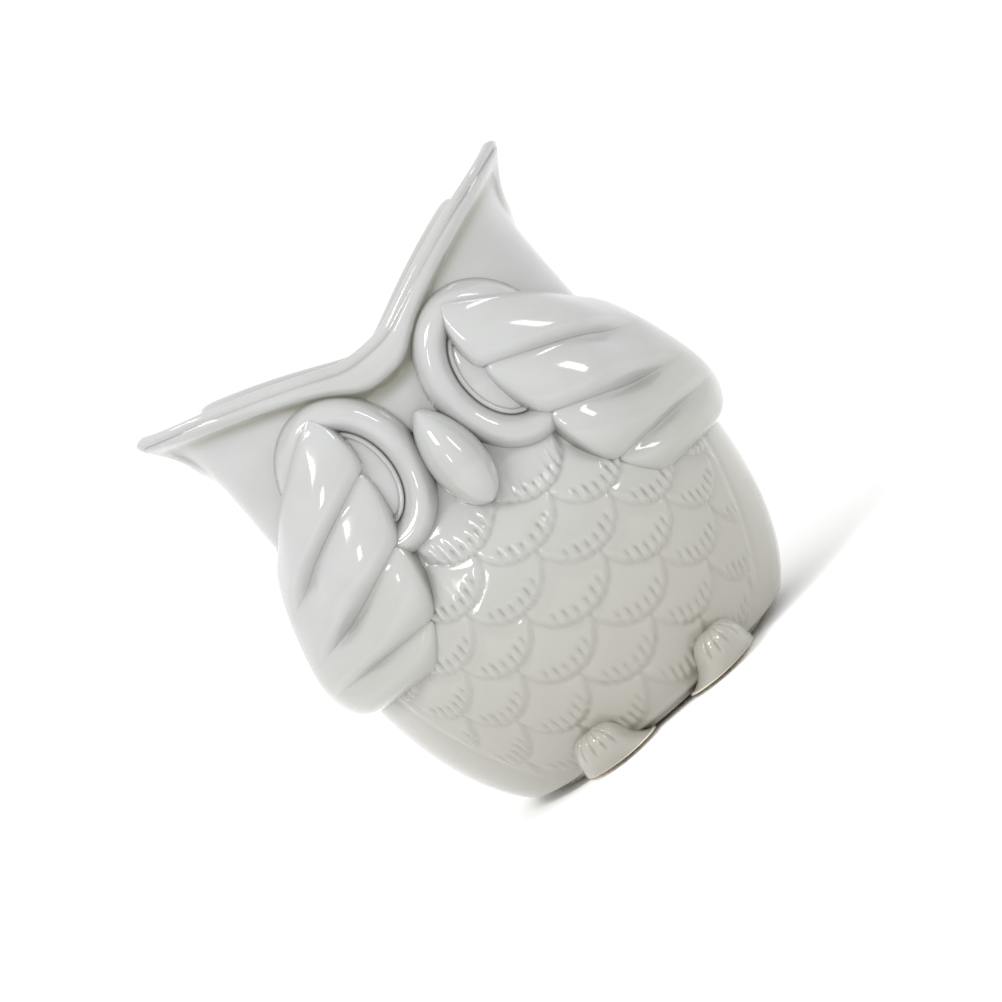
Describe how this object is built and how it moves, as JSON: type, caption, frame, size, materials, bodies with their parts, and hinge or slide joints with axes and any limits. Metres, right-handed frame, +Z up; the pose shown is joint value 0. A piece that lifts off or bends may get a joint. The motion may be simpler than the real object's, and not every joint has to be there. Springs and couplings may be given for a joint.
{
  "type": "owl figurine",
  "caption": "Glazed ceramic owl figurine with pointed ears and its wings folded up over its eyes, hollow, on a flat foot ring with felt pads.",
  "frame": {"origin": "middle of the figurine's box on the table, under the felt pads", "axes": "+Z up, towards the ear tips; the owl looks along -Y; +X is at the viewer's right"},
  "size_m": [0.0934, 0.0766, 0.1],
  "materials": {
    "glazed_ceramic": "gloss",
    "felt": "matte"
  },
  "bodies": {
    "root": {"body_casting": "glazed_ceramic", "left_wing": "glazed_ceramic", "right_wing": "glazed_ceramic", "left_eye_ring": "glazed_ceramic", "right_eye_ring": "glazed_ceramic", "left_eye": "glazed_ceramic", "right_eye": "glazed_ceramic", "beak": "glazed_ceramic", "left_foot": "glazed_ceramic", "right_foot": "glazed_ceramic", "felt_pad_front_left": "felt", "felt_pad_front_right": "felt", "felt_pad_rear_left": "felt", "felt_pad_rear_right": "felt"}
  },
  "joints": []
}
